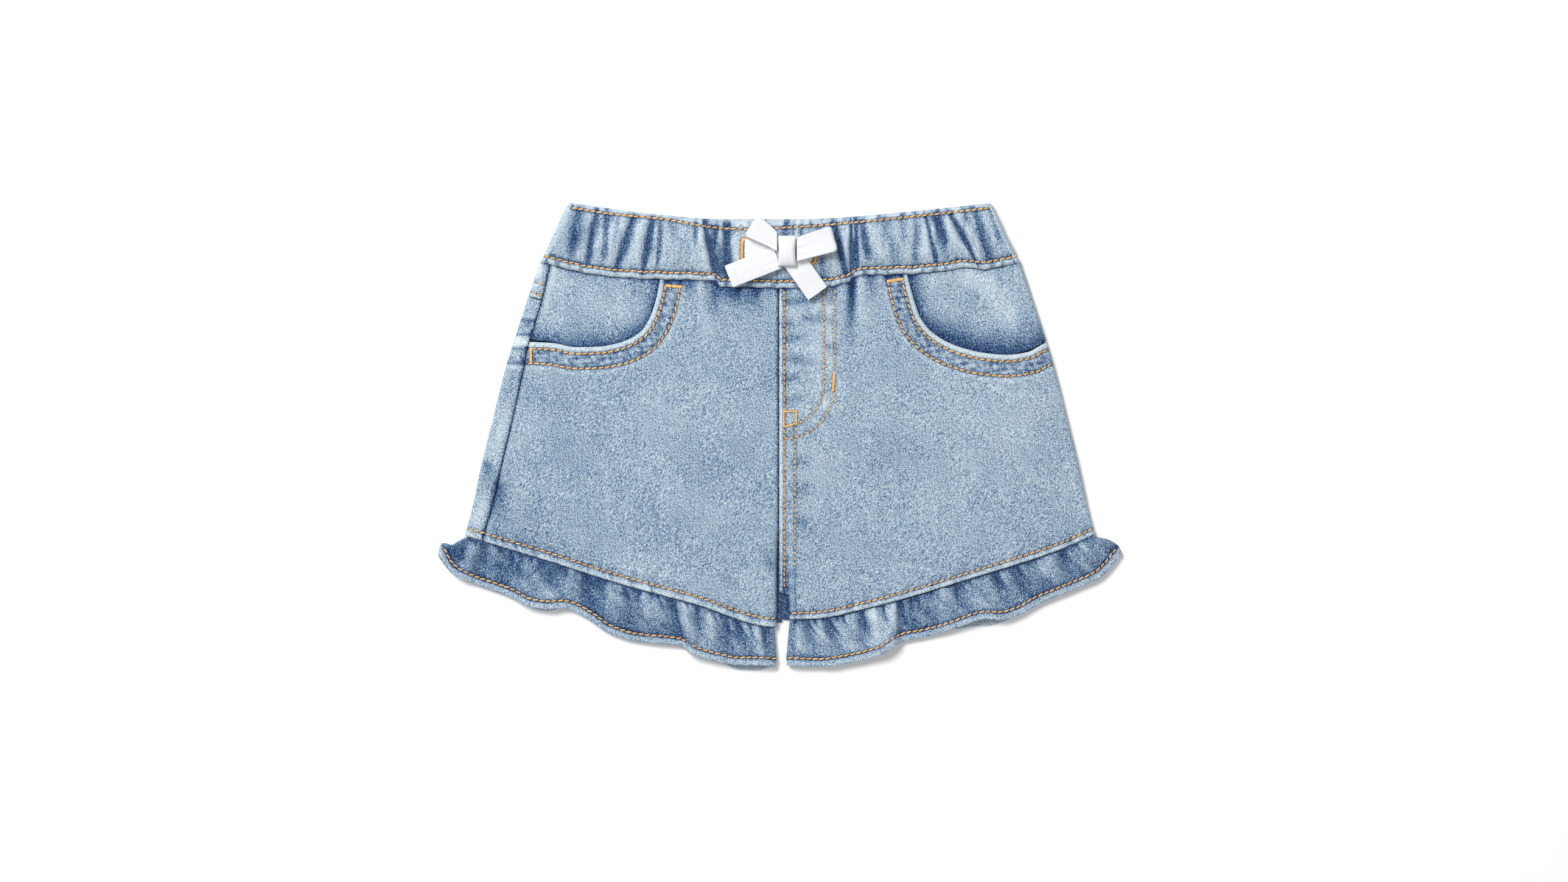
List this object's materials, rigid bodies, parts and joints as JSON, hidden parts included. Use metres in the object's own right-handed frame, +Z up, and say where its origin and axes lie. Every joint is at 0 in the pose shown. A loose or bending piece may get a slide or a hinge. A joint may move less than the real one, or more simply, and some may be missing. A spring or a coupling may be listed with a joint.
{
  "type": "denim shorts",
  "caption": "Toddler's pull-on denim shorts laid flat, with a gathered elastic waist, a tape bow, scoop pockets, a mock fly and ruffled leg hems.",
  "frame": {"origin": "on the surface that the shorts lie on, under the middle of their bounding box", "axes": "+X to the wearer's left, +Y up to the waist, +Z up off the surface and out of the front"},
  "size_m": [0.3266, 0.2222, 0.0158],
  "materials": {
    "denim": "light stone-washed cotton twill, matt, with a diagonal rib, pale along seams and folds",
    "cotton_tape": "white woven cotton twill tape, matt and smooth",
    "thread": "golden-orange polyester topstitching thread with a slight sheen"
  },
  "bodies": {
    "root": {"waistband": "denim", "front_right": "denim", "front_left": "denim", "back_right": "denim", "back_left": "denim", "yoke_right": "denim", "yoke_left": "denim", "pocket_facing_right": "denim", "pocket_facing_left": "denim", "ruffle_right": "denim", "ruffle_left": "denim", "tape_bar": "cotton_tape", "bow_loop_right": "cotton_tape", "bow_loop_left": "cotton_tape", "bow_tail_right": "cotton_tape", "bow_tail_left": "cotton_tape", "bow_knot": "cotton_tape"}
  },
  "joints": []
}
